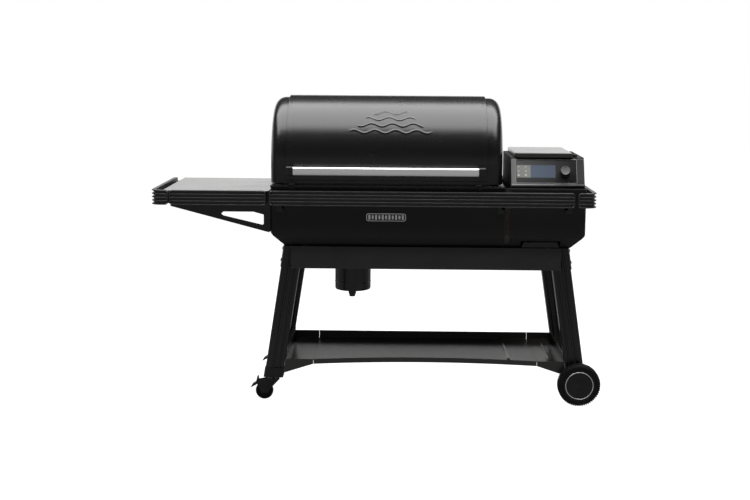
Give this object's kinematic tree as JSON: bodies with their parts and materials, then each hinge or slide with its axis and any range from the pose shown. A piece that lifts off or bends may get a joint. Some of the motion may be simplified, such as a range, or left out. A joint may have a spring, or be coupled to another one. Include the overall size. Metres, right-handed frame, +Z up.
{
  "type": "pellet smoker grill",
  "caption": "Barrel-shaped wood pellet grill with a hinged lid, a side hopper with controls, a side shelf and a wheeled cart with splayed legs.",
  "frame": {"origin": "on the floor under the middle of the grill's overall box", "axes": "+X to the hopper side (right), +Y to the back, +Z up; the front rail and control panel face -Y"},
  "size_m": [1.778, 0.635, 1.2169],
  "materials": {
    "satin_black_steel": "satin powder coat",
    "textured_black_steel": "fine textured powder coat",
    "dark_grey_steel": "textured powder coat",
    "rail_black": "satin extruded rail",
    "shelf_coat": "semi-gloss powder coat",
    "vent_brown": "matt coat",
    "liner_steel": "enamel",
    "grate_enamel": "porcelain enamel",
    "fire_steel": "heat-darkened",
    "plain_steel": "bright",
    "stainless": "brushed along its length",
    "badge_metal": "satin",
    "black_plastic": "fine grain",
    "gloss_black": "gloss",
    "screen": "unlit screen",
    "rubber_black": "matt",
    "wheel_black": "moulded"
  },
  "bodies": {
    "grill": {"barrel_shell": "textured_black_steel", "barrel_liner": "liner_steel", "barrel_rim": "satin_black_steel", "lid_bumpers": "rubber_black", "vent_strip": "vent_brown", "exhaust_duct": "satin_black_steel", "badge": "badge_metal", "main_grate": "grate_enamel", "upper_grate": "grate_enamel", "drip_tray": "liner_steel", "heat_baffle": "fire_steel", "fire_pot": "fire_steel", "auger_tube": "plain_steel", "auger_motor": "plain_steel", "fan_housing": "black_plastic", "hopper_housing": "textured_black_steel", "hopper_bin": "plain_steel", "control_bezel": "black_plastic", "control_panel": "gloss_black", "display": "screen", "lid_hinge_bases": "satin_black_steel", "front_rail": "rail_black", "shelf_front_rail": "rail_black", "left_side_rail": "rail_black", "right_side_rail": "rail_black", "rail_brackets": "satin_black_steel", "shelf_panel": "shelf_coat", "shelf_brackets": "satin_black_steel", "bolt_heads": "satin_black_steel", "frame_beams": "dark_grey_steel", "left_legs": "satin_black_steel", "right_legs": "satin_black_steel", "leg_sleeves": "satin_black_steel", "foot_caps": "black_plastic", "bottom_shelf_centre": "shelf_coat", "bottom_shelf_left": "shelf_coat", "bottom_shelf_right": "shelf_coat", "axle": "plain_steel"},
    "lid": {"lid_skin": "satin_black_steel", "lid_end_caps": "satin_black_steel", "lid_liner": "liner_steel", "lid_handle_bar": "stainless", "lid_handle_ends": "black_plastic", "lid_hinge_arms": "satin_black_steel"},
    "hopper_cover": {"hopper_lid": "shelf_coat"},
    "dial": {"knob": "black_plastic"},
    "gate": {"cleanout_gate": "satin_black_steel"},
    "ash_keg": {"keg": "satin_black_steel"},
    "auger": {"auger_screw": "plain_steel"},
    "fan": {"fan_impeller": "plain_steel"},
    "front_road_wheel": {"front_wheel": "wheel_black", "front_wheel_cap": "black_plastic"},
    "rear_road_wheel": {"rear_wheel": "wheel_black", "rear_wheel_cap": "black_plastic"},
    "front_fork": {"front_caster_fork": "black_plastic"},
    "front_roller": {"front_caster_wheel": "wheel_black"},
    "front_brake": {"front_caster_brake": "black_plastic"},
    "rear_fork": {"rear_caster_fork": "black_plastic"},
    "rear_roller": {"rear_caster_wheel": "wheel_black"},
    "rear_brake": {"rear_caster_brake": "black_plastic"}
  },
  "joints": [
    {"name": "lid_hinge", "type": "hinge", "parent": "grill", "child": "lid", "pos_m": [0.03, 0.29, 0.88], "axis": [-1, 0, 0], "range_deg": [0, 85]},
    {"name": "hopper_lid_hinge", "type": "hinge", "parent": "grill", "child": "hopper_cover", "pos_m": [0.648, 0.124, 0.993], "axis": [-1, 0, 0], "range_deg": [0, 80]},
    {"name": "knob_turn", "type": "hinge", "parent": "grill", "child": "dial", "pos_m": [0.728, -0.23608, 0.92611], "axis": [0, -0.9018, 0.4321], "continuous": true},
    {"name": "gate_slide", "type": "slide", "parent": "grill", "child": "gate", "axis": [0, -1, 0], "range_m": [0, 0.06]},
    {"name": "keg_drop", "type": "slide", "parent": "grill", "child": "ash_keg", "axis": [0, 0, -1], "range_m": [0, 0.12]},
    {"name": "auger_turn", "type": "hinge", "parent": "grill", "child": "auger", "pos_m": [0.4, 0, 0.69], "axis": [1, 0, 0], "continuous": true},
    {"name": "fan_spin", "type": "hinge", "parent": "grill", "child": "fan", "pos_m": [0.66, 0.165, 0.704], "axis": [0, 1, 0], "continuous": true},
    {"name": "front_wheel_spin", "type": "hinge", "parent": "grill", "child": "front_road_wheel", "pos_m": [0.804, -0.277, 0.085], "axis": [0, 1, 0], "continuous": true},
    {"name": "rear_wheel_spin", "type": "hinge", "parent": "grill", "child": "rear_road_wheel", "pos_m": [0.804, 0.277, 0.085], "axis": [0, 1, 0], "continuous": true},
    {"name": "front_caster_swivel", "type": "hinge", "parent": "grill", "child": "front_fork", "pos_m": [-0.42091, -0.225, 0.088], "axis": [0, 0, 1], "continuous": true},
    {"name": "front_caster_roll", "type": "hinge", "parent": "front_fork", "child": "front_roller", "pos_m": [-0.45691, -0.225, 0.0355], "axis": [0, 1, 0], "continuous": true},
    {"name": "front_caster_brake", "type": "hinge", "parent": "front_fork", "child": "front_brake", "pos_m": [-0.48191, -0.225, 0.072], "axis": [0, -1, 0], "range_deg": [0, 12]},
    {"name": "rear_caster_swivel", "type": "hinge", "parent": "grill", "child": "rear_fork", "pos_m": [-0.42091, 0.225, 0.088], "axis": [0, 0, 1], "continuous": true},
    {"name": "rear_caster_roll", "type": "hinge", "parent": "rear_fork", "child": "rear_roller", "pos_m": [-0.45691, 0.225, 0.0355], "axis": [0, 1, 0], "continuous": true},
    {"name": "rear_caster_brake", "type": "hinge", "parent": "rear_fork", "child": "rear_brake", "pos_m": [-0.48191, 0.225, 0.072], "axis": [0, -1, 0], "range_deg": [0, 12]}
  ]
}
